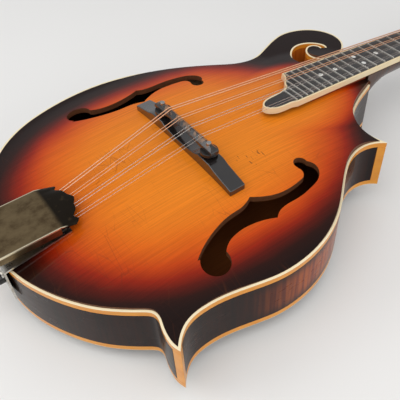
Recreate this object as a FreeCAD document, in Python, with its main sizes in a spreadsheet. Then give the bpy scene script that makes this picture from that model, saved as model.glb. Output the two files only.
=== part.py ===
import FreeCAD, Part
import Sketcher
import math
import os

# An f-style mandolin lying face up. The origin is the middle of the strap button's seat at the tail end,
# +X runs from the tail to the head along the strings, +Y is the bass side and +Z comes out of the top.

V = FreeCAD.Vector
Rotation = FreeCAD.Rotation
Placement = FreeCAD.Placement
doc = FreeCAD.newDocument("mandolin")
sheet = doc.addObject("Spreadsheet::Sheet", "sizes")

# Driving dimensions in millimetres, angles in degrees and counts
SIZES = [
    # body
    ("body_length", 356.5), ("half_width", 127.0), ("rim_depth", 44.3), ("plate_edge", 4.6),
    ("plate_carving", 4.9), ("binding_width", 1.6), ("rim_wall", 2.8), ("top_arch", 14.5),
    ("back_arch", 14.0), ("bridge_x", 148.0),
    ("cap_reach", 6.5), ("point_block_reach", 25.0), ("block_front", 88.5), ("block_treble_reach", 43.0),
    ("tail_block_length", 18.0), ("tail_block_width", 64.0), ("lining_height", 8.0),
    ("bar_width", 7.0), ("bar_height", 9.0), ("bar_length", 196.0), ("bar_spread", 84.0),
    ("cut_over", 30.0), ("arc_tolerance", 0.25),
    # sound holes
    ("eye_x_upper", 54.0), ("eye_y_upper", 63.0), ("eye_radius_upper", 5.2),
    ("eye_x_lower", 42.6), ("eye_y_lower", 92.6), ("eye_radius_lower", 9.6),
    # neck and board
    ("scale_length", 352.4), ("saddle_setback", 2.4), ("neck_pitch", 5.0), ("board_height", 9.7),
    ("joint_fret", 15), ("board_thickness", 5.2), ("nut_width", 28.6), ("joint_width", 36.8),
    ("board_binding", 1.4), ("fret_count", 23), ("fret_crown", 1.1), ("fret_width", 1.3),
    ("dot_radius", 2.0), ("dot_depth", 1.2), ("double_dot_spread", 12.0),
    ("nut_length", 4.6), ("nut_height", 7.0), ("neck_depth_nut", 13.5), ("neck_depth_body", 17.0),
    ("heel_length", 34.0), ("tenon_length", 24.0), ("tenon_width", 22.0),
    ("tenon_depth", 30.0), ("riser_width", 31.0), ("riser_length", 64.0), ("joint_gap", 0.05), ("riser_gap", 0.04),
    # headstock
    ("headstock_angle", 14.0), ("headstock_length", 156.0), ("headstock_half_width", 46.5),
    ("headstock_thickness", 12.7), ("veneer_thickness", 2.3), ("rod_radius", 2.4), ("rod_length", 170.0),
    ("rod_gap", 0.1), ("rod_depth", 6.0), ("rod_nut_radius", 3.6), ("rod_nut_length", 9.0),
    ("rod_thread_radius", 1.9), ("pocket_length", 20.0), ("pocket_width", 9.4),
    ("pocket_gap", 2.0), ("cover_length", 34.0), ("cover_width", 24.0), ("cover_screw_spread", 16.4), ("cover_thickness", 1.5), ("cover_start", 8.0),
    # machine heads
    ("post_start", 38.0), ("post_pitch", 23.4), ("post_count", 4), ("post_spread", 38.0),
    ("post_radius", 3.0), ("post_height", 12.0), ("post_bore", 0.9), ("post_bore_height", 9.0), ("post_gap", 0.05), ("ferrule_wall", 1.5),
    ("ferrule_flange", 1.2), ("ferrule_rise", 1.0), ("ferrule_length", 6.0), ("plate_thickness", 1.0), ("plate_width", 15.0),
    ("plate_margin", 14.0), ("gear_teeth", 14), ("gear_radius", 5.6), ("gear_addendum", 0.45),
    ("gear_dedendum", 0.7), ("gear_thickness", 2.6), ("gear_drop", 3.4), ("tooth_width", 0.95),
    ("worm_radius", 2.4), ("worm_outer", 2.9), ("worm_root", 1.7), ("worm_turns", 3),
    ("shaft_radius", 1.4), ("shaft_gap", 0.05), ("ear_thickness", 1.6), ("ear_width", 7.0),
    ("ear_gap", 0.5), ("button_start", 18.5), ("button_length", 15.0), ("button_width", 16.0),
    ("button_thickness", 8.0),
    # bridge
    ("base_length", 120.0), ("base_width", 12.5), ("base_height", 8.6), ("base_arm", 4.6),
    ("stud_spread", 57.4), ("stud_radius", 1.75),
    ("stud_gap", 0.06), ("saddle_top", 33.8), ("saddle_height", 5.8), ("saddle_length", 71.0),
    ("saddle_width", 6.6), ("saddle_crest", 1.0), ("crest_height", 3.0), ("slot_gap", 0.2), ("wheel_radius", 6.35), ("wheel_thickness", 2.6),
    ("stud_top", 0.7), ("seat_gap", 0.02), ("saddle_waist", 2.6), ("scoop_radius", 90.0),
    # strings
    ("course_spread_saddle", 38.6), ("course_spread_nut", 21.4), ("course_spread_tail", 24.0),
    ("pair_gap_saddle", 2.7), ("pair_gap_nut", 2.0), ("pair_gap_tail", 2.6),
    ("string_gauge_g", 1.0), ("string_gauge_d", 0.66), ("string_gauge_a", 0.40), ("string_gauge_e", 0.28),
    ("nut_slot_rise", 1.3), ("string_gap", 0.05), ("wind_angle", 260), ("wind_step", 26), ("string_hook_x", 33.0), ("string_hook_z", 8.0), ("post_string_height", 6.2),
    # tailpiece
    ("cover_top", 17.4), ("tail_cover_width", 41.5), ("tail_cover_flat", 39.5), ("tail_cover_reach", 58.5),
    ("tail_cover_wall", 0.9), ("lip_height", 16.0), ("base_plate_width", 39.2), ("base_plate_length", 46.0),
    ("base_plate_thickness", 1.3), ("base_plate_tail", 2.0), ("base_plate_front", 7.7), ("bracket_drop", 30.0),
    ("bracket_width", 30.0), ("hook_radius", 1.1), ("hook_height", 2.6),
    ("pin_stem_radius", 2.6), ("pin_neck", 3.6), ("pin_head", 6.8), ("pin_neck_length", 6.5),
    ("pin_head_length", 4.0), ("pin_stem_length", 20.0),
    ("screw_radius", 1.3), ("screw_head", 2.7), ("screw_head_height", 1.3), ("screw_length", 10.0),
]
for row, (alias, value) in enumerate(SIZES, start=1):
    sheet.set("A%d" % row, str(value))
    sheet.setAlias("A%d" % row, alias)
doc.recompute()


def size(alias):
    return float(sheet.get(alias))


L = size("body_length")
W = size("half_width")
TOP = size("rim_depth") / 2
BOTTOM = -TOP
EDGE = size("plate_edge")
OVER = size("cut_over")
nodes = []


def add(label, shape):
    """One sub-part whose shape comes from the functions below."""
    feature = doc.addObject("Part::Feature", label)
    feature.Label = label
    feature.Shape = shape
    nodes.append(feature)
    return feature


def spline(points, closed=False):
    curve = Part.BSplineCurve()
    curve.interpolate(Points=points, PeriodicFlag=closed)
    return curve


def stretch(shares):
    """A curve in the plane of the rims through points given as shares of body length and half width."""
    return spline([V(along * L, across * W, 0) for along, across in shares])


# Outline, anticlockwise from the tail, as shares of (body length, half width)
tail_to_point_shares = [(0, 0), (0.013, -0.200), (0.044, -0.400), (0.092, -0.590), (0.142, -0.714),
                        (0.161, -0.768), (0.157, -0.843), (0.153, -0.921), (0.1585, -0.992)]
waist_shares = [(0.1585, -0.992), (0.170, -0.952), (0.194, -0.901), (0.237, -0.882), (0.295, -0.906),
                (0.365, -0.957), (0.421, -0.965), (0.482, -0.937), (0.553, -0.846), (0.628, -0.685),
                (0.676, -0.598), (0.722, -0.567), (0.752, -0.588), (0.773, -0.630)]
cutaway_shares = [(0.773, -0.630), (0.765, -0.535), (0.765, -0.445), (0.781, -0.346), (0.816, -0.268),
                  (0.861, -0.209), (0.903, -0.165)]
cleft_shares = [(0.903, 0.150), (0.861, 0.177), (0.838, 0.236), (0.829, 0.320), (0.838, 0.400),
                (0.858, 0.468), (0.886, 0.503), (0.914, 0.484), (0.934, 0.433), (0.941, 0.380), (0.938, 0.355)]
scroll_shares = [(0.930, 0.368), (0.927, 0.421), (0.910, 0.449), (0.890, 0.429), (0.880, 0.366),
                 (0.884, 0.291), (0.905, 0.240), (0.937, 0.228), (0.970, 0.268), (0.994, 0.346),
                 (1.000, 0.445), (0.989, 0.555), (0.956, 0.650), (0.898, 0.701), (0.833, 0.654),
                 (0.774, 0.587), (0.724, 0.573), (0.673, 0.634), (0.561, 0.843), (0.449, 0.972),
                 (0.342, 1.000), (0.238, 0.953), (0.140, 0.827), (0.062, 0.575), (0.017, 0.268), (0, 0)]
# Inner edge of the linings, from the bass end of the head block round the tail to the treble end
cavity_shares = [(0.728, 0.480), (0.700, 0.520), (0.651, 0.600), (0.547, 0.783), (0.440, 0.909),
                 (0.342, 0.933), (0.250, 0.880), (0.160, 0.745), (0.087, 0.528), (0.042, 0.268),
                 (0.024, 0), (0.038, -0.190), (0.068, -0.360), (0.115, -0.530), (0.170, -0.640),
                 (0.215, -0.750), (0.280, -0.840), (0.365, -0.893), (0.421, -0.898), (0.472, -0.870),
                 (0.541, -0.780), (0.610, -0.630), (0.665, -0.535), (0.728, -0.490)]

turn_shares = scroll_shares[9]
scroll_and_bass = stretch(scroll_shares)
turn = scroll_and_bass.parameter(V(turn_shares[0] * L, turn_shares[1] * W, 0))
scroll_curve = scroll_and_bass.copy()
scroll_curve.segment(scroll_and_bass.FirstParameter, turn)
bass_curve = scroll_and_bass.copy()
bass_curve.segment(turn, scroll_and_bass.LastParameter)


def arcs(curve):
    """The curve as arcs tangent to each other, each a start, a middle and an end point."""
    triples = []
    here = curve.value(curve.FirstParameter)
    for piece in curve.toBiArcs(size("arc_tolerance")):
        first, last = piece.FirstParameter, piece.LastParameter
        start, middle, end = [piece.value(u) for u in (first, (first + last) / 2, last)]
        if (end - here).Length < (start - here).Length:
            start, end = end, start
        triples.append((here, middle, end))
        here = end
    return triples


def ends(triples):
    return triples[0][0], triples[-1][2]


def line(start, end):
    return Part.LineSegment(start, end).toShape()


def left_normals(start, middle, end):
    """Unit vectors to the left of travel at the three points of an arc, or of a straight run."""
    turn = (middle - start).cross(end - middle).z
    if abs(turn) < 1e-6 * (end - start).Length ** 2:
        along = (end - start).normalize()
        return [V(-along.y, along.x, 0)] * 3
    centre = Part.Arc(start, middle, end).toShape().Curve.Center
    side = 1 if turn > 0 else -1
    return [(centre - point).normalize() * side for point in (start, middle, end)]


def moved_left(triples, distance):
    """The arcs of a parallel curve."""
    moved = []
    here = None
    for triple in triples:
        start, middle, end = [p + n * distance for p, n in zip(triple, left_normals(*triple))]
        if here is not None:
            start = here
        moved.append((start, middle, end))
        here = end
    return moved


def edges(triples):
    result = []
    for start, middle, end in triples:
        bend = (middle - start).cross(end - middle).Length
        straight = bend < 1e-6 * (end - start).Length ** 2
        result.append(line(start, end) if straight else Part.Arc(start, middle, end).toShape())
    return result


def loop(parts):
    """A closed wire through lists of arcs, with straight runs where one list ends short of the next."""
    result = []
    for i, triples in enumerate(parts):
        result += edges(triples)
        end = ends(triples)[1]
        start = ends(parts[(i + 1) % len(parts)])[0]
        if (start - end).Length > size("joint_gap"):
            result.append(line(end, start))
    return Part.Wire(result)


tail_to_point = arcs(stretch(tail_to_point_shares))
waist = arcs(stretch(waist_shares))
cutaway = arcs(stretch(cutaway_shares))
cleft = arcs(stretch(cleft_shares))
scroll = arcs(scroll_curve)
bass = arcs(bass_curve)
outline_face = Part.Face(loop([tail_to_point, waist, cutaway, cleft, scroll, bass]))


def prism(face, low, high):
    solid = face.copy()
    solid.translate(V(0, 0, low))
    return solid.extrude(V(0, 0, high - low))


def band(triples, width):
    """A face along the arcs, on their left hand side, as wide as the wall it stands for."""
    inner = [(end, middle, start) for start, middle, end in reversed(moved_left(triples, width))]
    return Part.Face(loop([triples, inner]))


def box(low, high):
    solid = Part.makeBox(high.x - low.x, high.y - low.y, high.z - low.z)
    solid.translate(low)
    return solid


# Arched plates: two domes, the lower bout's and the upper bout's, flow into each other
lower_tail_share, lower_head_share, lower_side_share = 0.415, 0.421, 0.961
upper_centre_share, upper_length_share, upper_side_share = 0.659, 0.323, 0.551
upper_height_share = 0.62
dome_power = 2.4
slope_power = 1.3
blend_power = 4


def dome(x, y, centre, tail, head, side):
    reach = tail if x < centre else head
    left = 1 - abs((x - centre) / reach) ** dome_power - abs(y / side) ** dome_power
    return max(left, 0) ** slope_power


def arch(x, y):
    """Height of an arched plate above its edge, as a share of the full arch."""
    lower = dome(x, y, size("bridge_x"), lower_tail_share * L, lower_head_share * L, lower_side_share * W)
    upper = dome(x, y, upper_centre_share * L, upper_length_share * L, upper_length_share * L,
                 upper_side_share * W) * upper_height_share
    return (lower ** blend_power + upper ** blend_power) ** (1 / blend_power)


GRID_X = 10
GRID_Y = 8


def arch_surface(height, level):
    """The face of an arch of this height whose edge lies at this level."""
    rows = []
    for i in range(GRID_X + 1):
        x = -OVER + (L + 2 * OVER) * i / GRID_X
        row = []
        for j in range(GRID_Y + 1):
            y = (W + OVER) * (2 * j / GRID_Y - 1)
            row.append(V(x, y, level + height * arch(x, y)))
        rows.append(row)
    surface = Part.BSplineSurface()
    surface.interpolate(rows)
    return surface.toShape()


# Bands along every edge of the outline, for the bindings and the plates they are let into
binding_faces = [band(part, size("binding_width")) for part in (tail_to_point, waist, cutaway, cleft, scroll, bass)]
binding_plan = outline_face.common(binding_faces[0].multiFuse(binding_faces[1:]))
plate_plan = outline_face.cut(binding_plan)
cavity_face = Part.Face(loop([arcs(stretch(cavity_shares))]))

# The top: carved spruce, arched, with two f-holes
top_skin = arch_surface(size("top_arch"), TOP)
carved_under = arch_surface(size("top_arch"), TOP - size("plate_carving"))
under_top = top_skin.extrude(V(0, 0, -2 * OVER))
hollow_under = carved_under.extrude(V(0, 0, -2 * OVER))
top = prism(plate_plan, TOP - EDGE, TOP + 2 * size("top_arch")).common(under_top)
top = top.cut(hollow_under.common(prism(cavity_face, TOP - EDGE - OVER, TOP + 2 * size("top_arch"))))

# Each f-hole is a pair of round eyes joined by a notched stem. Places are shares of the half width,
# measured from the bridge line along and from the middle line across.
stem_outer_shares = [(0.462, 0.500), (0.489, 0.560), (0.456, 0.615), (0.378, 0.650), (0.230, 0.672),
                     (0.140, 0.672), (0.075, 0.706)]
stem_outer_tail_shares = [(0.075, 0.706), (0.020, 0.684), (-0.100, 0.662), (-0.195, 0.672), (-0.262, 0.715)]
stem_inner_tail_shares = [(-0.405, 0.675), (-0.335, 0.630), (-0.228, 0.585), (-0.120, 0.560),
                          (-0.030, 0.552), (0.035, 0.528)]
stem_inner_shares = [(0.035, 0.528), (0.095, 0.565), (0.165, 0.592), (0.255, 0.598), (0.345, 0.588),
                     (0.392, 0.558), (0.386, 0.515)]


def sound_hole(side):
    centre = size("bridge_x")

    def place(shares):
        return arcs(spline([V(centre + along * W, side * across * W, 0) for along, across in shares]))

    stem = Part.Face(loop([place(stem_outer_shares), place(stem_outer_tail_shares),
                           place(stem_inner_tail_shares), place(stem_inner_shares)]))
    up = V(0, 0, 1)
    upper = Part.makeCylinder(size("eye_radius_upper"), 2 * OVER,
                              V(centre + size("eye_x_upper"), side * size("eye_y_upper"), TOP - OVER), up)
    lower = Part.makeCylinder(size("eye_radius_lower"), 2 * OVER,
                              V(centre - size("eye_x_lower"), side * size("eye_y_lower"), TOP - OVER), up)
    return prism(stem, TOP - OVER, TOP + OVER).fuse(upper).fuse(lower)


top = top.cut(sound_hole(1)).cut(sound_hole(-1))
add("top_plate", top)

# The back: carved maple, arched the other way
back_skin = arch_surface(-size("back_arch"), BOTTOM)
back_carved = arch_surface(-size("back_arch"), BOTTOM + size("plate_carving"))
back = prism(plate_plan, BOTTOM - 2 * size("back_arch"), BOTTOM + EDGE)
back = back.common(back_skin.extrude(V(0, 0, 2 * OVER)))
back = back.cut(back_carved.extrude(V(0, 0, 2 * OVER)).common(
    prism(cavity_face, BOTTOM - 2 * size("back_arch"), BOTTOM + EDGE + OVER)))
add("back_plate", back)



def joined(shape):
    """One solid from the solids that touch along their cut faces."""
    solids = shape.Solids
    return solids[0].multiFuse(solids[1:]).removeSplitter()


add("top_binding", joined(prism(binding_plan, TOP - EDGE, TOP)))
add("back_binding", joined(prism(binding_plan, BOTTOM, BOTTOM + EDGE)))

# Caps and blocks of the two points, the bent rims, the head block with its scroll and the tail block
rim_low = BOTTOM + EDGE
rim_high = TOP - EDGE
filled = prism(outline_face, rim_low, rim_high)
tips = [ends(waist)[0], ends(waist)[1]]


def round_at(tip, radius):
    return Part.makeCylinder(radius, rim_high - rim_low, V(tip.x, tip.y, rim_low), V(0, 0, 1))


caps = [filled.common(round_at(tip, size("cap_reach"))) for tip in tips]
add("point_caps", Part.makeCompound(caps))


def rim(label, triples, others):
    solid = filled.common(prism(band(triples, size("rim_wall")), rim_low, rim_high))
    for other in others:
        solid = solid.cut(other)
    add(label, solid)
    return solid


rim_bass = rim("rim_bass_side", bass, [])
rim_tail = rim("rim_treble_tail", tail_to_point, caps + [rim_bass])
rim_waist = rim("rim_treble_waist", waist, caps + [rim_tail])
rim_cutaway = rim("rim_cutaway", cutaway, caps + [rim_waist])
rims = [rim_bass, rim_tail, rim_waist, rim_cutaway]


def without(solid, others):
    for other in others:
        solid = solid.cut(other)
    return solid


point_blocks = []
for tip in tips:
    point_blocks.append(without(filled.common(round_at(tip, size("point_block_reach"))), caps + rims))
cavity = prism(cavity_face, rim_low, rim_high)
point_blocks = [without(block, [cavity]) for block in point_blocks]
add("point_blocks", Part.makeCompound(point_blocks))

tenon_low = rim_high - size("tenon_depth")
neck_end_x = ends(cutaway)[1].x
mortise = box(V(neck_end_x - size("tenon_length") - size("joint_gap"),
                -size("tenon_width") / 2 - size("joint_gap"), tenon_low - size("joint_gap")),
              V(neck_end_x + OVER, size("tenon_width") / 2 + size("joint_gap"), rim_high + OVER))
block_zone = box(V(neck_end_x - size("block_front") + OVER, -size("block_treble_reach"), rim_low),
                 V(L + OVER, W, rim_high))
head_block = without(filled.common(block_zone), rims + caps + point_blocks + [mortise])
add("head_block", head_block)

tail_zone = box(V(0, -size("tail_block_width") / 2, rim_low),
                V(size("tail_block_length") + size("rim_wall"), size("tail_block_width") / 2, rim_high))
stem_hole = Part.makeCylinder(size("pin_stem_radius") + size("shaft_gap"), 2 * OVER, V(-OVER, 0, 0), V(1, 0, 0))
tail_block = without(filled.common(tail_zone), rims + [stem_hole])
add("tail_block", tail_block)

linings = []
lining_ring = without(filled, rims + caps + point_blocks + [head_block, tail_block, cavity, block_zone, stem_hole])
for low, high in ((rim_low, rim_low + size("lining_height")), (rim_high - size("lining_height"), rim_high)):
    linings.append(lining_ring.common(box(V(-OVER, -2 * W, low), V(L, 2 * W, high))))
add("linings", Part.makeCompound([solid for group in linings for solid in group.Solids]))

# Tone bars under the top, cut to the underside of its arch
bars = []
for side in (-1, 1):
    middle = side * size("bar_spread") / 2
    bar = box(V(size("bridge_x") - size("bar_length") / 2, middle - size("bar_width") / 2, rim_high - OVER),
              V(size("bridge_x") + size("bar_length") / 2, middle + size("bar_width") / 2, TOP + OVER))
    under = hollow_under.copy()
    bar = bar.common(under)
    under.translate(V(0, 0, -size("bar_height")))
    bars.append(without(bar.cut(under), [head_block, sound_hole(side)]))
add("tone_bars", Part.makeCompound(bars))

# Frames of the neck: the board's frame starts at its nut end and slopes down towards the head,
# the headstock's frame starts past the nut and slopes down further
PITCH = size("neck_pitch")
SCALE = size("scale_length")
BOARD = size("board_thickness")
VENEER = size("veneer_thickness")
nut_x = size("bridge_x") - size("saddle_setback") + SCALE
level_run = math.cos(math.radians(PITCH))
fall = math.sin(math.radians(PITCH))


def fret_distance(number):
    return SCALE * (1 - 2 ** (-number / 12))


def placed(shape, frame):
    moved = shape.copy()
    moved.Placement = frame.multiply(moved.Placement)
    return moved


joint_distance = fret_distance(size("joint_fret"))
nut_top = TOP + size("board_height") + BOARD - joint_distance * fall
board_frame = Placement(V(nut_x, 0, nut_top), Rotation(V(0, 1, 0), PITCH))
wood_start = board_frame.multVec(V(size("nut_length"), 0, -BOARD))
head_rotation = Rotation(V(0, 1, 0), PITCH + size("headstock_angle"))
head_frame = Placement(wood_start + head_rotation.multVec(V(0, 0, VENEER)), head_rotation)


def half_board(distance):
    """Half the width of the board this far from the nut."""
    return (size("nut_width") + (size("joint_width") - size("nut_width")) * distance / joint_distance) / 2


# Fingerboard outline past the last whole fret, as shares of (scale length, half width of the board there)
board_end_shares = [(0.688, 1.000), (0.692, 0.740), (0.705, 0.480), (0.7165, 0.130)]
tongue_shares = [(0.7165, 0.130), (0.735, -0.010), (0.765, -0.090), (0.797, -0.200), (0.812, -0.480),
                 (0.800, -0.790), (0.775, -0.900), (0.735, -0.965)]
end_half = half_board(board_end_shares[0][0] * SCALE)


def board_curve(shares):
    return arcs(spline([V(-along * SCALE, across * end_half, 0) for along, across in shares]))


def straight(start, end):
    return [(start, (start + end) / 2, end)]


bass_corner = V(-board_end_shares[0][0] * SCALE, end_half, 0)
treble_corner = V(-tongue_shares[-1][0] * SCALE, tongue_shares[-1][1] * end_half, 0)
nut_bass = V(0, size("nut_width") / 2, 0)
nut_treble = V(0, -size("nut_width") / 2, 0)
board_sides = [straight(nut_bass, bass_corner), board_curve(board_end_shares), board_curve(tongue_shares),
               straight(treble_corner, nut_treble)]
board_plan = Part.Face(loop(board_sides))
board_bands = [band(part, size("board_binding")) for part in board_sides]
board_trim = board_plan.common(board_bands[0].multiFuse(board_bands[1:]))
board_inner = board_plan.cut(board_trim)
board_core = prism(board_inner, -BOARD, 0)

# Frets: a crown across the board, as far in as the binding, also where the end of the board is cut away
frets = []
for number in range(1, int(size("fret_count")) + 1):
    distance = fret_distance(number)
    bar = box(V(-distance - size("fret_width") / 2, -end_half, 0),
              V(-distance + size("fret_width") / 2, end_half, size("fret_crown")))
    bar = bar.common(prism(board_inner, 0, size("fret_crown")))
    frets += [solid for solid in bar.Solids if solid.BoundBox.YLength > size("board_binding")]
add("frets", placed(Part.makeCompound(frets), board_frame))

# Mother-of-pearl dots, let into the board halfway between two frets
dot_frets = (3, 5, 7, 10, 12, 15, 17)
octave_fret = 12
dots = []
for number in dot_frets:
    distance = (fret_distance(number) + fret_distance(number - 1)) / 2
    sides = (-1, 1) if number == octave_fret else (0,)
    for side in sides:
        dots.append(Part.makeCylinder(size("dot_radius"), size("dot_depth"),
                                      V(-distance, side * size("double_dot_spread") / 2, -size("dot_depth"))))
board_core = without(board_core, dots)
add("position_dots", placed(Part.makeCompound(dots), board_frame))
add("fingerboard", placed(board_core, board_frame))
add("fingerboard_binding", placed(joined(prism(board_trim, -BOARD, 0)), board_frame))

# Neck: a loft through D-shaped sections that run from the nut into the heel
neck_root = (nut_x - neck_end_x) / level_run
shaft_length = neck_root - size("heel_length")
heel_depth = size("rim_depth") + size("board_height") + (neck_root - joint_distance) * fall
section_steps = 8
shaft_steps = 1
heel_steps = 4
heel_power = 2.2
belly_power = 0.95
heel_narrowing_share = 0.15


def section(distance, depth, width, roundness):
    """A D-shaped outline across the neck: flat on top, round below."""
    points = []
    for i in range(section_steps + 1):
        angle = math.pi * i / section_steps
        across = math.copysign(abs(math.cos(angle)) ** roundness, math.cos(angle)) * width / 2
        points.append(V(-distance, across, -BOARD - depth * math.sin(angle) ** roundness))
    return Part.Wire([spline(points).toShape(), line(points[-1], points[0])])


sections = []
for i in range(shaft_steps + heel_steps + 1):
    in_shaft = min(i / shaft_steps, 1)
    in_heel = max(i - shaft_steps, 0) / heel_steps
    distance = shaft_length * in_shaft + size("heel_length") * in_heel
    depth = size("neck_depth_nut") + (size("neck_depth_body") - size("neck_depth_nut")) * in_shaft
    depth += (heel_depth - size("neck_depth_body")) * in_heel ** heel_power
    sections.append(section(distance, depth, 2 * half_board(distance),
                            belly_power - heel_narrowing_share * in_heel))
shaft = placed(Part.makeLoft(sections, True, True), board_frame)
shaft = shaft.cut(box(V(0, -W, BOTTOM - L), V(neck_end_x, W, TOP + L)))
tenon = box(V(neck_end_x - size("tenon_length"), -size("tenon_width") / 2, tenon_low),
            V(neck_end_x + size("tenon_length") / 4, size("tenon_width") / 2, rim_high))

# Headstock outline, anticlockwise from its treble end at the nut, as shares of (length, half width)
side_treble_shares = [(-0.02, -0.308), (0.06, -0.345), (0.115, -0.470), (0.160, -0.645)]
ear_treble_shares = [(0.160, -0.645), (0.290, -0.620), (0.480, -0.630), (0.630, -0.700), (0.740, -0.850),
                     (0.815, -0.930), (0.880, -0.860), (0.890, -0.660), (0.855, -0.480)]
crown_shares = [(0.855, -0.480), (0.875, -0.310), (0.925, -0.130), (0.968, 0.100), (0.958, 0.330),
                (0.905, 0.540)]
ear_bass_shares = [(0.905, 0.540), (0.955, 0.570), (0.996, 0.700), (0.985, 0.880), (0.925, 1.000),
                   (0.840, 0.965), (0.750, 0.820), (0.630, 0.690), (0.480, 0.630), (0.290, 0.620),
                   (0.160, 0.645)]
side_bass_shares = [(0.160, 0.645), (0.115, 0.470), (0.06, 0.345), (-0.02, 0.308)]


def head_curve(shares):
    length, half = size("headstock_length"), size("headstock_half_width")
    return arcs(spline([V(along * length, across * half, 0) for along, across in shares]))


head_plan = Part.Face(loop([head_curve(side_treble_shares), head_curve(ear_treble_shares),
                            head_curve(crown_shares), head_curve(ear_bass_shares),
                            head_curve(side_bass_shares)]))
WOOD_BACK = -VENEER - size("headstock_thickness")
headstock = placed(prism(head_plan, WOOD_BACK, -VENEER), head_frame)

# Places of the machine heads in the headstock's frame, bass side first
posts = []
for side in (1, -1):
    for i in range(int(size("post_count"))):
        posts.append(V(size("post_start") + size("post_pitch") * i, side * size("post_spread") / 2, 0))
post_bore = size("post_radius") + size("post_gap")
ferrule_radius = post_bore + size("ferrule_wall")
stepped_bores = []
for post in posts:
    narrow = Part.makeCylinder(post_bore + size("ferrule_wall") / 2, 2 * OVER, post - V(0, 0, OVER))
    wide = Part.makeCylinder(ferrule_radius, OVER, post - V(0, 0, size("ferrule_length")))
    stepped_bores.append(placed(narrow.fuse(wide), head_frame))

# Truss rod channel and the pocket for its nut, both open towards the headstock's face
rod_axis = -BOARD - size("rod_depth")
rod_turn_start = size("nut_length") + size("pocket_gap")
rod_bore = placed(Part.makeCylinder(size("rod_radius") + size("rod_gap"), size("rod_length") + rod_turn_start,
                                    V(-size("rod_length"), 0, rod_axis), V(1, 0, 0)), board_frame)
pocket = placed(box(V(size("nut_length"), -size("pocket_width") / 2, rod_axis - size("pocket_width") / 2),
                    V(size("nut_length") + size("pocket_length"), size("pocket_width") / 2, OVER)), board_frame)
board_seat = placed(box(V(-OVER, -W, -BOARD), V(size("nut_length"), W, OVER)), board_frame)
neck = without(shaft.fuse([tenon, headstock.cut(board_seat)]), stepped_bores + [pocket, rod_bore])
add("neck", neck.removeSplitter())

# Riser that carries the board over the body, scribed to the arch of the top
riser = placed(box(V(-neck_root - size("riser_length"), -size("riser_width") / 2, -2 * OVER),
                   V(-neck_root, size("riser_width") / 2, -BOARD)), board_frame)
riser = riser.common(box(V(0, -W, TOP), V(neck_end_x, W, TOP + L)))
riser_seat = under_top.copy()
riser_seat.translate(V(0, 0, size("riser_gap")))
riser = riser.cut(riser_seat)
add("fingerboard_riser", riser.Solids[0])

# Truss rod with its turning nut, and the plate that hides them
rod = Part.makeCylinder(size("rod_radius"), size("rod_length"), V(-size("rod_length"), 0, rod_axis), V(1, 0, 0))
thread = Part.makeCylinder(size("rod_thread_radius"), rod_turn_start + size("rod_nut_length"),
                           V(0, 0, rod_axis), V(1, 0, 0))
add("truss_rod", placed(rod.fuse(thread), board_frame))
hexagon = []
for i in range(6):
    angle = math.pi * (2 * i + 1) / 6
    hexagon.append(V(rod_turn_start, size("rod_nut_radius") * math.cos(angle),
                     rod_axis + size("rod_nut_radius") * math.sin(angle)))
rod_nut = Part.Face(Part.makePolygon(hexagon + hexagon[:1])).extrude(V(size("rod_nut_length"), 0, 0))
rod_nut = rod_nut.cut(Part.makeCylinder(size("rod_thread_radius") + size("shaft_gap"), 2 * OVER,
                                        V(-OVER, 0, rod_axis), V(1, 0, 0)))
add("truss_rod_nut", placed(rod_nut, board_frame))

# Headstock veneer, with the nut's seat, the post holes and the truss rod pocket
nut_seat = placed(box(V(-OVER, -W, -OVER), V(size("nut_length"), W, OVER)), board_frame)
veneer = placed(prism(head_plan, -VENEER, 0), head_frame)
veneer = without(veneer, stepped_bores + [pocket, nut_seat])
add("headstock_veneer", veneer)

# A bell-shaped plate over the truss rod pocket, held by two screws
bell_shares = [(0, -0.500), (0.300, -0.420), (0.700, -0.230), (0.940, -0.140), (1.000, 0),
               (0.940, 0.140), (0.700, 0.230), (0.300, 0.420), (0, 0.500)]
bell = arcs(spline([V(size("cover_start") + along * size("cover_length"), across * size("cover_width"), 0)
                    for along, across in bell_shares]))
rod_cover = prism(Part.Face(loop([bell])), 0, size("cover_thickness"))
cover_screws = [V(size("cover_start") + size("screw_head"), side * size("cover_screw_spread") / 2, 0)
                for side in (-1, 1)]


def screw(point, length):
    """A wood screw standing on its point's level, its stem below."""
    head = Part.makeCylinder(size("screw_head"), size("screw_head_height"), point)
    stem = Part.makeCylinder(size("screw_radius"), length, point - V(0, 0, length))
    return head.fuse(stem)


def screw_bore(point, length, gap):
    return Part.makeCylinder(size("screw_radius") + gap, length + OVER, point - V(0, 0, length))


# Nut: a bone block with eight slots, wider below than above
course_sides = (1, 1 / 3, -1 / 3, -1)
course_labels = ("g", "d", "a", "e")


def string_places(spread, pair_gap):
    """Across places of the eight strings, bass first, from the spread of the courses and the pairs' gap."""
    places = []
    for course_side in course_sides:
        for half in (1, -1):
            places.append(course_side * size(spread) / 2 + half * size(pair_gap) / 2)
    return places


gauges = []
for name in course_labels:
    gauges += [size("string_gauge_" + name)] * 2
nut_places = string_places("course_spread_nut", "pair_gap_nut")
saddle_places = string_places("course_spread_saddle", "pair_gap_saddle")
tail_places = string_places("course_spread_tail", "pair_gap_tail")
string_gap = size("string_gap")
nut_string_height = size("nut_slot_rise")
nut_slots = []
for across, gauge in zip(nut_places, gauges):
    half = gauge / 2 + string_gap
    nut_slots.append(box(V(-OVER, across - half, nut_string_height - half), V(OVER, across + half, OVER)))
nut = box(V(0, -size("nut_width") / 2, -BOARD),
          V(size("nut_length"), size("nut_width") / 2, size("nut_height") - BOARD))
nut = without(nut, nut_slots)
add("nut", placed(nut, board_frame))

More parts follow.
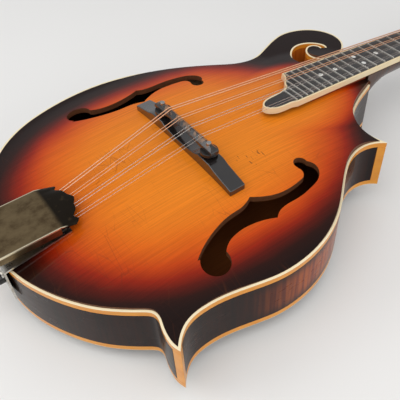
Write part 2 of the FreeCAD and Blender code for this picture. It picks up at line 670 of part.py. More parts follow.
# Bridge base: a long foot with two arms, scooped between them, carrying two threaded studs
bridge_x = size("bridge_x")
half_base = size("base_length") / 2
half_base_width = size("base_width") / 2
studs = [V(bridge_x, side * size("stud_spread") / 2, 0) for side in (1, -1)]
BASE_TOP = TOP + size("top_arch") + size("base_height")
foot_level_shares = [(-1.000, 0.00), (-0.930, 0.16), (-0.700, 0.62), (-0.600, 0.95), (-0.480, 1.00),
                     (-0.380, 1.00), (-0.300, 0.72), (-0.150, 0.56), (0, 0.52)]


def base_level(share):
    """Height of a point on the base's back above its tip, from the arch of the top to the studs' seats."""
    low = TOP + size("top_arch") * arch(bridge_x, half_base) + size("base_arm")
    return low + (BASE_TOP - low) * share


profile = [V(bridge_x, along * half_base, base_level(up)) for along, up in foot_level_shares]
profile += [V(p.x, -p.y, p.z) for p in reversed(profile[:-1])]
floor = [V(bridge_x, side * half_base, TOP - OVER) for side in (1, -1)]
side_edges = [line(a, b) for a, b in zip(profile, profile[1:])]
side_edges += [line(profile[-1], floor[0]), line(floor[0], floor[1]), line(floor[1], profile[0])]
base = Part.Face(Part.Wire(side_edges)).extrude(V(2 * half_base_width, 0, 0))
base.translate(V(-half_base_width, 0, 0))
base = base.cut(under_top)
stud_seats = [Part.makeCylinder(size("stud_radius"), size("base_height"), V(p.x, p.y, BASE_TOP - size("base_height") / 2))
              for p in studs]
base = without(base.Solids[0], stud_seats)
add("bridge_base", base)

# Studs, thumbwheels and the saddle that rides on them
saddle_low = TOP + size("saddle_top") - size("saddle_height")
wheel_low = saddle_low - size("wheel_thickness")
SADDLE_TOP = TOP + size("saddle_top")
stud_high = SADDLE_TOP + size("stud_top")
stud_rods = [Part.makeCylinder(size("stud_radius"), stud_high - (BASE_TOP - size("base_height") / 2),
                               V(p.x, p.y, BASE_TOP - size("base_height") / 2)) for p in studs]
add("bridge_posts", Part.makeCompound(stud_rods))
wheel_bore = size("stud_radius") + size("stud_gap")
for side_name, stud in zip(("bass", "treble"), studs):
    body = doc.addObject("PartDesign::Body", "thumbwheel_" + side_name)
    body.Label = "thumbwheel_" + side_name
    plane = [feature for feature in body.Origin.OriginFeatures if feature.Role == "XY_Plane"][0]
    sketch = body.newObject("Sketcher::SketchObject", "rim_" + side_name)
    sketch.AttachmentSupport = [(plane, "")]
    sketch.MapMode = "FlatFace"
    for radius, name in ((size("wheel_radius"), "wheel_radius"), (wheel_bore, "bore")):
        index = sketch.addGeometry(Part.Circle(V(0, 0, 0), V(0, 0, 1), radius))
        constraint = sketch.addConstraint(Sketcher.Constraint("Radius", index, radius))
        expression = "sizes.wheel_radius" if name == "wheel_radius" else "sizes.stud_radius + sizes.stud_gap"
        sketch.setExpression("Constraints[%d]" % constraint, expression)
    pad = body.newObject("PartDesign::Pad", "disc_" + side_name)
    pad.Profile = sketch
    pad.setExpression("Length", "sizes.wheel_thickness - 2 * sizes.seat_gap")
    body.Placement = Placement(V(stud.x, stud.y, wheel_low + size("seat_gap")), Rotation())
    nodes.append(body)

crest_shares = [(-1.000, 0.36), (-0.930, 0.80), (-0.820, 1.00), (0, 1.00)]
crest = [V(bridge_x, along * size("saddle_length") / 2, saddle_low + up * size("saddle_height"))
         for along, up in crest_shares]
crest += [V(p.x, -p.y, p.z) for p in reversed(crest[:-1])]
saddle_floor = [V(bridge_x, side * size("saddle_length") / 2, saddle_low) for side in (1, -1)]
saddle_edges = [line(a, b) for a, b in zip(crest, crest[1:])]
saddle_edges += [line(crest[-1], saddle_floor[0]), line(saddle_floor[0], saddle_floor[1]),
                 line(saddle_floor[1], crest[0])]
saddle = Part.Face(Part.Wire(saddle_edges)).extrude(V(size("saddle_width"), 0, 0))
saddle.translate(V(-size("saddle_width") / 2, 0, 0))
crest_start = SADDLE_TOP - size("crest_height")
half_saddle = size("saddle_width") / 2
half_crest = size("saddle_crest") / 2
ridge = [V(bridge_x + x, 0, z) for x, z in ((-half_saddle, saddle_low), (half_saddle, saddle_low),
                                            (half_saddle, crest_start), (half_crest, SADDLE_TOP),
                                            (-half_crest, SADDLE_TOP), (-half_saddle, crest_start))]
ridge = Part.Face(Part.makePolygon(ridge + ridge[:1])).extrude(V(0, size("saddle_length"), 0))
ridge.translate(V(0, -size("saddle_length") / 2, 0))
saddle = saddle.common(ridge)
scoop_radius = size("scoop_radius")
scoop = Part.makeCylinder(scoop_radius, 2 * OVER, V(bridge_x - OVER, 0, saddle_low - scoop_radius + size("saddle_waist")),
                          V(1, 0, 0))
stud_holes = [Part.makeCylinder(wheel_bore, 2 * OVER, V(p.x, p.y, TOP)) for p in studs]
string_slots = []
for across, gauge in zip(saddle_places, gauges):
    half = gauge / 2 + size("slot_gap")
    string_slots.append(box(V(0, across - half, SADDLE_TOP - half), V(L, across + half, SADDLE_TOP + OVER)))
saddle = without(saddle, [scoop] + stud_holes + string_slots)
add("bridge_saddle", saddle)

# Tailpiece: a base plate over the tail with a bracket down to the strap button, and a cover that slides off
plate_start = -size("base_plate_thickness") - string_gap
plate_tail = TOP + size("base_plate_tail")
plate_front = TOP + size("base_plate_front")
plate_slope = (plate_front - plate_tail) / size("base_plate_length")


def plate_level(x):
    return plate_tail + plate_slope * x


def sheet_metal(points, width):
    """A plate whose side view has these corners, centred on the middle line."""
    corners = [V(x, -width / 2, z) for x, z in points]
    return Part.Face(Part.makePolygon(corners + corners[:1])).extrude(V(0, width, 0))


plate_end = size("base_plate_length")
thick = size("base_plate_thickness")
tail_plate = sheet_metal([(plate_start, plate_tail), (plate_end, plate_front), (plate_end, plate_front + thick),
                          (plate_start, plate_tail + thick)], size("base_plate_width"))
bracket_low = TOP - size("bracket_drop")
bracket = box(V(plate_start, -size("bracket_width") / 2, bracket_low),
              V(-string_gap, size("bracket_width") / 2, plate_tail + thick))
pin_axis = V(1, 0, 0)
pin_hole = Part.makeCylinder(size("pin_stem_radius") + size("shaft_gap"), 2 * OVER, V(-OVER, 0, 0), pin_axis)
hooks = []
hook_x = size("string_hook_x") - size("hook_radius") * 2
for across in tail_places:
    hooks.append(Part.makeCylinder(size("hook_radius"), size("hook_height") + thick,
                                   V(hook_x, across, plate_level(hook_x))))
tail_base = tail_plate.fuse([bracket] + hooks).cut(pin_hole)
bracket_screws = []
for side in (-1, 1):
    bracket_screws.append(V(plate_start, side * size("bracket_width") / 4, TOP - size("bracket_drop") / 3))
tail_turn = Rotation(V(0, 1, 0), -90)


def tail_frame(point):
    return Placement(point, tail_turn)


tail_base = without(tail_base, [placed(screw_bore(V(0, 0, 0), size("screw_length"), size("shaft_gap")),
                                       tail_frame(point)) for point in bracket_screws])
add("tailpiece_base", tail_base)

COVER_TOP = TOP + size("cover_top")
half_cover = size("tail_cover_width") / 2
lip_top = TOP + size("lip_height")
wall = size("tail_cover_wall")
lip_rise_share = 1.2
outer = sheet_metal([(plate_start, plate_tail), (plate_start, COVER_TOP), (size("tail_cover_flat"), COVER_TOP),
                     (size("tail_cover_reach"), lip_top), (size("tail_cover_reach"), lip_top - wall),
                     (size("tail_cover_flat"), plate_level(size("tail_cover_flat")))], 2 * half_cover)
inner = sheet_metal([(-OVER, TOP - OVER), (-OVER, COVER_TOP - wall), (size("tail_cover_flat") - wall / 2, COVER_TOP - wall),
                     (size("tail_cover_reach") + wall, lip_top - wall * lip_rise_share),
                     (size("tail_cover_reach") + wall, TOP - OVER)], 2 * (half_cover - wall))
add("tailpiece_cover", outer.cut(inner))

# Strap button: a head and a neck outside the tail, its stem in the tail block
neck_start = plate_start
button = Part.makeCylinder(size("pin_neck"), size("pin_neck_length"), V(neck_start, 0, 0), V(-1, 0, 0))
button = button.fuse(Part.makeCylinder(size("pin_head"), size("pin_head_length"),
                                       V(neck_start - size("pin_neck_length"), 0, 0), V(-1, 0, 0)))
button = button.fuse(Part.makeCylinder(size("pin_stem_radius"), size("pin_stem_length"), V(neck_start, 0, 0), pin_axis))
add("end_pin", button)

# Machine heads. Each turns on a worm beside its gear. The worm lies along the headstock's width, on the
# nut's side of the post, in a frame whose X points at the gear and whose Z points at the bass side
PLATE_BACK = WOOD_BACK - size("plate_thickness")
worm_level = PLATE_BACK - size("gear_drop")
gear_radius = size("gear_radius")
gear_teeth = int(size("gear_teeth"))
gear_pitch = 2 * math.pi * gear_radius / gear_teeth
worm_reach = gear_radius + size("worm_radius")
half_thread = gear_pitch * size("worm_turns") / 2
half_tooth = size("tooth_width") / 2
flank = half_tooth * 0.35
gear_half = size("gear_thickness") / 2
shaft_radius = size("shaft_radius")


def gear_plan():
    root, tip = gear_radius - size("gear_dedendum"), gear_radius + size("gear_addendum")
    corners = []
    for tooth in range(gear_teeth):
        angle = 2 * math.pi * tooth / gear_teeth
        for radius, half in ((root, half_tooth + flank), (tip, half_tooth - flank)):
            corners.append((angle - half / radius, radius))
        for radius, half in ((tip, half_tooth - flank), (root, half_tooth + flank)):
            corners.append((angle + half / radius, radius))
    points = [V(radius * math.cos(angle), radius * math.sin(angle), 0) for angle, radius in corners]
    return Part.Face(Part.makePolygon(points + points[:1]))


gear = prism(gear_plan(), worm_level - gear_half, worm_level + gear_half)
post_solid = Part.makeCylinder(size("post_radius"), size("post_height") - worm_level, V(0, 0, worm_level))
string_bore = Part.makeCylinder(size("post_bore"), 2 * OVER, V(-OVER, 0, size("post_bore_height")), V(1, 0, 0))
post_solid = post_solid.fuse(gear).cut(string_bore)

root_radius = size("worm_root")
inside = root_radius - 2 * size("shaft_gap")
thread_steps = 12


def worm_thread():
    """A right-handed thread with straight flanks, in flats round the axis, its inner edge in the core."""
    outer = size("worm_outer")
    profile = ((inside, -half_tooth - flank), (outer, -half_tooth + flank), (outer, half_tooth - flank),
               (inside, half_tooth + flank))
    stations = []
    for i in range(int(size("worm_turns")) * thread_steps + 1):
        angle = 2 * math.pi * i / thread_steps
        level = gear_pitch * i / thread_steps - half_thread
        stations.append([V(reach * math.cos(angle), reach * math.sin(angle), level + rise)
                         for reach, rise in profile])
    faces = [Part.Face(Part.makePolygon(end + end[:1])) for end in (stations[0], stations[-1])]
    for near, far in zip(stations, stations[1:]):
        for i in range(len(profile)):
            j = (i + 1) % len(profile)
            for corners in ((near[i], near[j], far[j]), (near[i], far[j], far[i])):
                faces.append(Part.Face(Part.makePolygon(list(corners) + [corners[0]])))
    solid = Part.Solid(Part.Shell(faces))
    solid.fix(0, 0, 0)
    return solid


thread = worm_thread()
core_half = half_thread + size("tooth_width")
core_corners = [V(root_radius * math.cos(2 * math.pi * i / thread_steps),
                  root_radius * math.sin(2 * math.pi * i / thread_steps), 0) for i in range(thread_steps)]
worm_core = prism(Part.Face(Part.makePolygon(core_corners + core_corners[:1])), -core_half, core_half)
ear_inner = core_half + size("ear_gap")
ear_outer = ear_inner + size("ear_thickness")
shaft_start = -ear_outer - size("ear_gap")
worm_shaft = Part.makeCylinder(shaft_radius, size("button_start") - shaft_start, V(0, 0, shaft_start))
button_shares = [(0.20, 0), (0.36, 0.10), (0.86, 0.30), (1.00, 0.58), (0.72, 0.92), (0, 1.00), (-0.72, 0.92),
                 (-1.00, 0.58), (-0.86, 0.30), (-0.36, 0.10), (-0.20, 0)]
button_plan = arcs(spline([V(across * size("button_width") / 2, along * size("button_length"), 0)
                           for across, along in button_shares]))
knob = prism(Part.Face(loop([button_plan])), -size("button_thickness") / 2, size("button_thickness") / 2)
knob.rotate(V(0, 0, 0), V(1, 0, 0), 90)
knob.translate(V(0, 0, size("button_start") - size("ear_gap")))
worm_solid = worm_core.fuse([thread, worm_shaft, knob])

worm_frames = []
for number, post in enumerate(posts, start=1):
    side = 1 if post.y > 0 else -1
    add("tuner_post_%d" % number, placed(post_solid, head_frame.multiply(Placement(post, Rotation()))))
    place = Placement(post + V(-worm_reach, 0, worm_level), Rotation(V(1, 0, 0), -90 * side))
    worm_frames.append(place)
    add("tuner_worm_%d" % number, placed(worm_solid, head_frame.multiply(place)))

# Plates that carry the worms in folded ears, one along each side of the headstock's back
plates = []
plate_screws = []
for side in (1, -1):
    row = [post for post in posts if post.y * side > 0]
    middle = row[0].y
    plate = box(V(row[0].x - size("plate_margin"), middle - size("plate_width") / 2, PLATE_BACK),
                V(row[-1].x + size("plate_margin"), middle + size("plate_width") / 2, WOOD_BACK))
    ears = []
    for post in row:
        for along in (-ear_outer, ear_inner):
            ears.append(box(V(post.x - worm_reach - size("ear_width") / 2, middle + along,
                              worm_level - size("ear_width") / 2),
                            V(post.x - worm_reach + size("ear_width") / 2,
                              middle + along + size("ear_thickness"), PLATE_BACK)))
    plate = plate.fuse(ears)
    for post in row:
        plate = plate.cut(Part.makeCylinder(post_bore, 2 * OVER, post - V(0, 0, OVER)))
        plate = plate.cut(Part.makeCylinder(shaft_radius + size("shaft_gap"), 2 * OVER,
                                            V(post.x - worm_reach, middle - OVER, worm_level), V(0, 1, 0)))
    for post in row[:-1]:
        plate_screws.append(V(post.x + size("post_pitch") - worm_reach - size("ear_width"), middle, PLATE_BACK))
    plates.append(plate)
turned_over = Rotation(V(1, 0, 0), 180)
screw_gap = size("shaft_gap")
plate_bores = [placed(screw_bore(V(0, 0, 0), size("screw_length"), screw_gap), Placement(point, turned_over))
               for point in plate_screws]
plates = [without(plate, plate_bores) for plate in plates]
add("tuner_plates", placed(Part.makeCompound(plates), head_frame))

ferrules = []
for post in posts:
    sleeve = Part.makeCylinder(ferrule_radius - screw_gap, size("ferrule_length"), post - V(0, 0, size("ferrule_length")))
    flange = Part.makeCylinder(ferrule_radius + size("ferrule_flange"), size("ferrule_rise"), post)
    bore = Part.makeCylinder(post_bore, 2 * OVER, post - V(0, 0, OVER))
    ferrules.append(sleeve.fuse(flange).cut(bore))
add("tuner_ferrules", placed(Part.makeCompound(ferrules), head_frame))

# Screws of the rod cover, the tuner plates and the tailpiece's bracket, and the holes they are driven into
cover_level = V(0, 0, size("cover_thickness"))
screws = [placed(screw(point + cover_level, size("screw_length")), head_frame) for point in cover_screws]
screws += [placed(screw(V(0, 0, 0), size("screw_length")), head_frame.multiply(Placement(point, turned_over)))
           for point in plate_screws]
screws += [placed(screw(V(0, 0, 0), size("screw_length")), tail_frame(point)) for point in bracket_screws]
add("screws", Part.makeCompound(screws))
cover_bores = [placed(screw_bore(point + cover_level, size("screw_length"), screw_gap), head_frame)
               for point in cover_screws]
rod_cover = without(placed(rod_cover, head_frame), cover_bores)
add("truss_rod_cover", rod_cover)
bored = {"neck": cover_bores + [placed(bore, head_frame) for bore in plate_bores],
         "headstock_veneer": cover_bores}
for feature in nodes:
    if feature.Label in bored:
        feature.Shape = without(feature.Shape, bored[feature.Label])
tail_bores = [placed(screw_bore(V(0, 0, 0), size("screw_length"), screw_gap), tail_frame(point))
              for point in bracket_screws]
for feature in nodes:
    if feature.Label in ("tail_block", "rim_bass_side", "rim_treble_tail"):
        feature.Shape = without(feature.Shape, tail_bores + [stem_hole])

# Strings: from their hooks over the saddle and the nut to their posts, which they go round
string_posts = (0, 1, 2, 3, 7, 6, 5, 4)
wire_sides = 8


def wire(path, radius):
    """A wire along straight runs, mitred where they meet, with flats all round."""
    runs = [(end - start).normalize() for start, end in zip(path, path[1:])]
    across = runs[0].cross(V(0, 0, 1)).normalize()
    upright = across.cross(runs[0])
    rings = [[]]
    for i in range(wire_sides):
        angle = 2 * math.pi * (i + 0.5) / wire_sides
        rings[0].append(path[0] + across * (radius * math.cos(angle)) + upright * (radius * math.sin(angle)))
    for i, run in enumerate(runs):
        mitre = run + runs[min(i + 1, len(runs) - 1)]
        rings.append([point + run * ((path[i + 1] - point).dot(mitre) / run.dot(mitre)) for point in rings[-1]])
    faces = [Part.Face(Part.makePolygon(ring + ring[:1])) for ring in (rings[0], rings[-1])]
    for near, far in zip(rings, rings[1:]):
        for i in range(wire_sides):
            j = (i + 1) % wire_sides
            faces.append(Part.Face(Part.makePolygon([near[i], near[j], far[j], far[i], near[i]])))
    solid = Part.Solid(Part.Shell(faces))
    solid.fix(0, 0, 0)
    return solid


def turns_round(post, start, radius, side):
    """Points of a polygon round a post, whose first side runs along the tangent from the start."""
    away = V(start.x - post.x, start.y - post.y, 0)
    lean = math.acos(radius / away.Length)
    first = math.atan2(away.y, away.x) + side * lean
    step = math.radians(size("wind_step"))
    corners = []
    for i in range(int(size("wind_angle") / size("wind_step"))):
        angle = first + side * step * (i + 0.5)
        reach = radius / math.cos(step / 2)
        corners.append(V(post.x + reach * math.cos(angle), post.y + reach * math.sin(angle),
                         size("post_string_height")))
    return corners


courses = {name: [] for name in course_labels}
to_head = head_frame.inverse()
for number, gauge in enumerate(gauges):
    radius = gauge / 2
    post = posts[string_posts[number]]
    side = 1 if post.y > 0 else -1
    hook = V(hook_x + size("hook_radius") + string_gap + radius, tail_places[number], TOP + size("string_hook_z"))
    crest_point = V(bridge_x, saddle_places[number], SADDLE_TOP)
    nut_front = board_frame.multVec(V(0, nut_places[number], nut_string_height))
    nut_back = board_frame.multVec(V(size("nut_length"), nut_places[number], nut_string_height))
    wound = turns_round(post, to_head.multVec(nut_back), size("post_radius") + string_gap + radius, side)
    path = [hook, crest_point, nut_front, nut_back] + [head_frame.multVec(corner) for corner in wound]
    courses[course_labels[number // 2]].append(wire(path, radius))
for name in course_labels:
    add("strings_" + name, Part.makeCompound(courses[name]))

doc.recompute()
for feature in doc.Objects:
    if "Invalid" in feature.State or "Error" in feature.State:
        raise ValueError("not built: " + feature.Label)
for node in nodes:
    if node.Shape.isNull() or not node.Shape.isValid() or not node.Shape.Solids:
        raise ValueError("not a solid: " + node.Label)
os.makedirs("parts", exist_ok=True)
for node in nodes:
    node.Shape.exportStep(os.path.join("parts", node.Label + ".step"))
print(len(nodes), "nodes")
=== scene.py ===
import bmesh
import bpy
import math
from mathutils import Matrix, Vector


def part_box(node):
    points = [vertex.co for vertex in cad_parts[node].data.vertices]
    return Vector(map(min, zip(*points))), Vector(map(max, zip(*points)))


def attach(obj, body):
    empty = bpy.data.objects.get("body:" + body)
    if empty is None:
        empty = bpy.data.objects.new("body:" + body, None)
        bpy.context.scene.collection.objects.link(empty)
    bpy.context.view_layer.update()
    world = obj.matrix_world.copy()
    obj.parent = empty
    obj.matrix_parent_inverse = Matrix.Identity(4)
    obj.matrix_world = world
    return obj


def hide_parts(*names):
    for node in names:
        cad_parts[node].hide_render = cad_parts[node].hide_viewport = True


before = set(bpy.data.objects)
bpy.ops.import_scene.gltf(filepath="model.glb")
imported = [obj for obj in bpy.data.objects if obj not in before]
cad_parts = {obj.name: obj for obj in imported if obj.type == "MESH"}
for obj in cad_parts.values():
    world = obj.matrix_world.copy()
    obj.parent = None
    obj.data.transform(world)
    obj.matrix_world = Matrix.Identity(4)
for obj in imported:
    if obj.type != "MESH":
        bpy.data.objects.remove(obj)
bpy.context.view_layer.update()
MM = 0.001

# Carved top: one arched plate of spruce, sprayed amber in the middle, then red, then nearly black at the rim.
# The plate is cut out of an arched slab along the outline and the two f-holes that the frame gives.
# The lacquer over it is glossy, finely checked across the grain, and scratched where a pick strays.
top_edge_low, top_edge_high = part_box("top_binding")
TOP = top_edge_high.z
tail_end = top_edge_low.x
body_length = top_edge_high.x - tail_end
half_width = top_edge_high.y
bridge_low, bridge_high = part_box("bridge_saddle")
bridge_line = (bridge_low.x + bridge_high.x) / 2
plate_low, plate_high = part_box("top_plate")
top_rise = plate_high.z - TOP


class Shade:
    """A socket in a finish. Arithmetic on it adds Math nodes."""

    def __init__(self, finish, socket):
        self.finish = finish
        self.socket = socket

    def math(self, operation, *others):
        values = dict(enumerate((self,) + others))
        return self.finish.node("ShaderNodeMath", {"operation": operation}, values)

    def __add__(self, other):
        return self.math("ADD", other)

    def __sub__(self, other):
        return self.math("SUBTRACT", other)

    def __rsub__(self, other):
        return self.finish.node("ShaderNodeMath", {"operation": "SUBTRACT"}, {0: other, 1: self})

    def __mul__(self, other):
        return self.math("MULTIPLY", other)

    def __truediv__(self, other):
        return self.math("DIVIDE", other)

    def __pow__(self, other):
        return self.math("POWER", other)

    __radd__ = __add__
    __rmul__ = __mul__

    def between(self, low, high):
        """0 below low, 1 above high, even in between."""
        return self.finish.node("ShaderNodeMapRange", {"clamp": True, "interpolation_type": "SMOOTHSTEP"},
                                {"Value": self, "From Min": low, "From Max": high})


class Finish:
    """A material with one Principled shader whose plain values are given by name."""

    def __init__(self, name, **plain):
        self.material = bpy.data.materials.new(name)
        self.material.use_nodes = True
        self.tree = self.material.node_tree
        self.shader = self.tree.nodes["Principled BSDF"]
        for words, value in plain.items():
            self.shader.inputs[words.replace("_", " ").title().replace("Ior", "IOR")].default_value = value
        place = self.tree.nodes.new("ShaderNodeTexCoord")
        self.place = Shade(self, place.outputs["Object"])
        apart = self.tree.nodes.new("ShaderNodeSeparateXYZ")
        self.tree.links.new(apart.inputs[0], self.place.socket)
        self.x, self.y, self.z = [Shade(self, apart.outputs[i]) / MM for i in range(3)]

    def node(self, kind, settings, values, output=0):
        made = self.tree.nodes.new(kind)
        for key, value in settings.items():
            if key == "stops":
                ramp = made.color_ramp
                while len(ramp.elements) < len(value):
                    ramp.elements.new(0.5)
                for element, (place, colour) in zip(ramp.elements, value):
                    element.position = place
                    element.color = (*colour, 1)
            else:
                setattr(made, key, value)
        for key, value in values.items():
            if isinstance(value, Shade):
                self.tree.links.new(made.inputs[key], value.socket)
            else:
                made.inputs[key].default_value = value
        return Shade(self, made.outputs[output])

    def ramp(self, value, stops):
        return self.node("ShaderNodeValToRGB", {"stops": stops}, {0: value})

    def mix(self, share, first, second, blend="MIX"):
        colours = [c if isinstance(c, Shade) else (*c, 1) for c in (first, second)]
        return self.node("ShaderNodeMix", {"data_type": "RGBA", "blend_type": blend},
                         {0: share, 6: colours[0], 7: colours[1]}, output=2)

    def noise(self, stretch, detail=3.0, roughness=0.55):
        """Noise whose grains are as long along each axis as the stretch in millimetres."""
        scale = tuple(1 / (length * MM) for length in stretch)
        grown = self.node("ShaderNodeVectorMath", {"operation": "MULTIPLY"}, {0: self.place, 1: scale})
        return self.node("ShaderNodeTexNoise", {},
                         {"Vector": grown, "Scale": 1.0, "Detail": detail, "Roughness": roughness})

    def cells(self, stretch):
        """Distance to the walls of a net of cells of this size in millimetres."""
        scale = tuple(1 / (length * MM) for length in stretch)
        grown = self.node("ShaderNodeVectorMath", {"operation": "MULTIPLY"}, {0: self.place, 1: scale})
        return self.node("ShaderNodeTexVoronoi", {"feature": "DISTANCE_TO_EDGE"},
                         {"Vector": grown, "Scale": 1.0})

    def bump(self, height, depth, strength=1.0):
        """Raises the surface by up to the depth in millimetres."""
        raised = self.node("ShaderNodeBump", {},
                           {"Height": height, "Distance": depth * MM, "Strength": strength})
        self.wear(Normal=raised)

    def wear(self, **links):
        for words, value in links.items():
            self.tree.links.new(self.shader.inputs[words.replace("_", " ")], value.socket)


def spray(finish):
    """0 at the outline to 1 in the middle of the two bouts, the way the colours are sprayed."""
    shares = []
    for centre, reach, side in ((bridge_line / MM, 0.405, 0.93), (0.62 * body_length / MM, 0.285, 0.50)):
        along = ((finish.x - centre) / (reach * body_length / MM)).math("ABSOLUTE") ** 2.4
        across = (finish.y / (side * half_width / MM)).math("ABSOLUTE") ** 2.4
        shares.append(1 - along - across)
    return shares[0].math("MAXIMUM", shares[1])


def sunburst(name, stops, rough):
    """Sprayed and lacquered wood: the colours, the grain, the checking and the scratches."""
    finish = Finish(name, coat_weight=0.25, coat_roughness=0.04, specular_ior_level=0.06)
    drift = finish.noise((60, 60, 60), 2.0) - 0.5
    burst = finish.ramp((spray(finish) + drift * 0.16).between(-0.02, 1.0), stops)
    grain = finish.noise((90, 0.75, 4), 4.0, 0.6)
    silk = finish.noise((7, 1.4, 4), 3.0)
    tone = grain.between(0.30, 0.72) * 0.24 + silk * 0.10 + 0.80
    tones = finish.node("ShaderNodeCombineXYZ", {}, {0: tone, 1: tone, 2: tone})
    wood = finish.mix(1.0, burst, tones, "MULTIPLY")
    checks = 1 - finish.cells((5.5, 34, 30)).between(0.0, 0.028)
    thin = finish.noise((45, 45, 45), 2.0).between(0.50, 0.68)
    wood = finish.mix(checks * thin * 0.30, wood, (0.10, 0.025, 0.008))
    finish.wear(Base_Color=wood, Roughness=finish.noise((14, 3, 14), 4.0) * 0.16 + rough)
    finish.bump(grain * 0.5 + finish.noise((26, 20, 20), 2.0) * 1.6 - checks * thin * 0.5, 0.05)
    return finish


burst_stops = [(0.00, (0.010, 0.003, 0.002)), (0.08, (0.022, 0.004, 0.002)), (0.20, (0.090, 0.006, 0.002)),
               (0.34, (0.260, 0.014, 0.002)), (0.50, (0.480, 0.050, 0.003)), (0.74, (0.640, 0.120, 0.006)),
               (1.00, (0.760, 0.215, 0.013))]
top_lacquer = sunburst("top_lacquer", burst_stops, 0.30)


def scuffs(finish, wood):
    """Bare streaks where a pick has gone through the lacquer, below the treble strings."""
    scuff_x, scuff_y = bridge_line / MM + 28, -40
    scuff_length, scuff_width = 17, 11
    along = ((finish.x - scuff_x) / scuff_length) ** 2.0
    across = ((finish.y - scuff_y) / scuff_width) ** 2.0
    reach = 1 - (along + across).between(0.25, 1.0)
    streaks = finish.noise((1.3, 6, 6), 3.0).between(0.60, 0.68)
    return finish.mix(reach * streaks, wood, (0.10, 0.035, 0.012))


sprayed = Shade(top_lacquer, top_lacquer.shader.inputs["Base Color"].links[0].from_socket)
top_lacquer.wear(Base_Color=scuffs(top_lacquer, sprayed))


def arch(x, y):
    """Height of the carved arch above its edge, as a share of its full rise."""
    along, across = x / body_length, y / half_width
    centre = bridge_line / body_length
    reach = 0.415 if along < centre else 0.421
    lower = 1 - abs((along - centre) / reach) ** 2.4 - abs(across / 0.961) ** 2.4
    upper = 1 - abs((along - 0.659) / 0.323) ** 2.4 - abs(across / 0.551) ** 2.4
    lower, upper = max(lower, 0) ** 1.3, 0.62 * max(upper, 0) ** 1.3
    return (lower ** 4 + upper ** 4) ** 0.25


def smooth_over(mesh_data, sharp):
    """Rounds the shading over every edge flatter than this many degrees."""
    bm = bmesh.new()
    bm.from_mesh(mesh_data)
    for face in bm.faces:
        face.smooth = True
    for edge in bm.edges:
        if len(edge.link_faces) == 2:
            edge.smooth = edge.calc_face_angle(0) < math.radians(sharp)
    bm.to_mesh(mesh_data)
    bm.free()


def piece(name, bm, finish, body="body", sharp=35):
    """Turns a bmesh into a piece of the object that rides on a body."""
    mesh_data = bpy.data.meshes.new(name)
    bm.to_mesh(mesh_data)
    bm.free()
    smooth_over(mesh_data, sharp)
    made = bpy.data.objects.new(name, mesh_data)
    bpy.context.scene.collection.objects.link(made)
    mesh_data.materials.append(finish.material)
    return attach(made, body)


def applied(made):
    """The piece with its modifiers worked into its mesh."""
    graph = bpy.context.evaluated_depsgraph_get()
    finished = bpy.data.meshes.new_from_object(made.evaluated_get(graph))
    made.modifiers.clear()
    made.data = finished
    return made


def carved_plate(node, name, finish, rise, edge_level, out):
    """An arched slab cut along the outline and the holes of a plate of the frame. out is 1 up or -1 down."""
    thickness = 4.6 * MM
    margin = 8 * MM
    knife_floor = (12 if out > 0 else 22) * MM
    knife_height = (40 if out > 0 else 24) * MM
    cutter = bmesh.new()
    cutter.from_mesh(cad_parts[node].data)
    bmesh.ops.remove_doubles(cutter, verts=cutter.verts, dist=0.002 * MM)
    inside = [face for face in cutter.faces if face.normal.z * out < 0.3]
    bmesh.ops.delete(cutter, geom=inside, context="FACES")
    for vert in cutter.verts:
        vert.co.z = edge_level - knife_floor
    walls = bmesh.ops.extrude_face_region(cutter, geom=cutter.faces[:])
    raised = [item for item in walls["geom"] if isinstance(item, bmesh.types.BMVert)]
    bmesh.ops.translate(cutter, verts=raised, vec=(0, 0, knife_height))
    bmesh.ops.recalc_face_normals(cutter, faces=cutter.faces)
    knife = piece(name + "_outline", cutter, finish)

    slab = bmesh.new()
    bmesh.ops.create_grid(slab, x_segments=150, y_segments=110, size=0.5)
    bmesh.ops.scale(slab, verts=slab.verts, vec=(body_length + margin, 2 * half_width + margin, 1))
    bmesh.ops.translate(slab, verts=slab.verts, vec=(body_length / 2, 0, edge_level))
    for vert in slab.verts:
        vert.co.z += out * rise * arch(vert.co.x, vert.co.y)
    skin = bmesh.ops.extrude_face_region(slab, geom=slab.faces[:])
    low_side = [item for item in skin["geom"] if isinstance(item, bmesh.types.BMVert)]
    bmesh.ops.translate(slab, verts=low_side, vec=(0, 0, -out * thickness))
    bmesh.ops.recalc_face_normals(slab, faces=slab.faces)
    made = piece(name, slab, finish)
    cut = made.modifiers.new("outline", "BOOLEAN")
    cut.operation = "INTERSECT"
    cut.solver = "EXACT"
    cut.object = knife
    bpy.context.view_layer.update()
    applied(made)
    bpy.data.objects.remove(knife)
    smooth_over(made.data, 30)
    return made


top = carved_plate("top_plate", "carved_top", top_lacquer, top_rise, TOP, 1)
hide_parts("top_plate")
# The cut edges of the f-holes have soaked up the stain
stained_edge = Finish("stained_edge", roughness=0.55)
edge_grain = stained_edge.noise((60, 0.8, 0.6), 3.0)
edge_stops = [(0.3, (0.075, 0.022, 0.008)), (0.7, (0.17, 0.060, 0.020))]
stained_edge.wear(Base_Color=stained_edge.ramp(edge_grain, edge_stops))
top.data.materials.append(stained_edge.material)
upright = 0.25
for face in top.data.polygons:
    if abs(face.normal.z) < upright:
        face.material_index = 1

# Carved back: one arched plate of maple, glued to the rims all round like the top.
# It has a darker brown sunburst under the same lacquer.
flame_stops = [(0.00, (0.010, 0.004, 0.003)), (0.20, (0.030, 0.008, 0.005)), (0.50, (0.100, 0.024, 0.010)),
               (1.00, (0.230, 0.070, 0.018))]
back_lacquer = sunburst("back_lacquer", flame_stops, 0.28)
back_low, back_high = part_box("back_plate")
bottom_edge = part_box("back_binding")[0].z
back = carved_plate("back_plate", "carved_back", back_lacquer, bottom_edge - back_low.z, bottom_edge, -1)
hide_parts("back_plate")

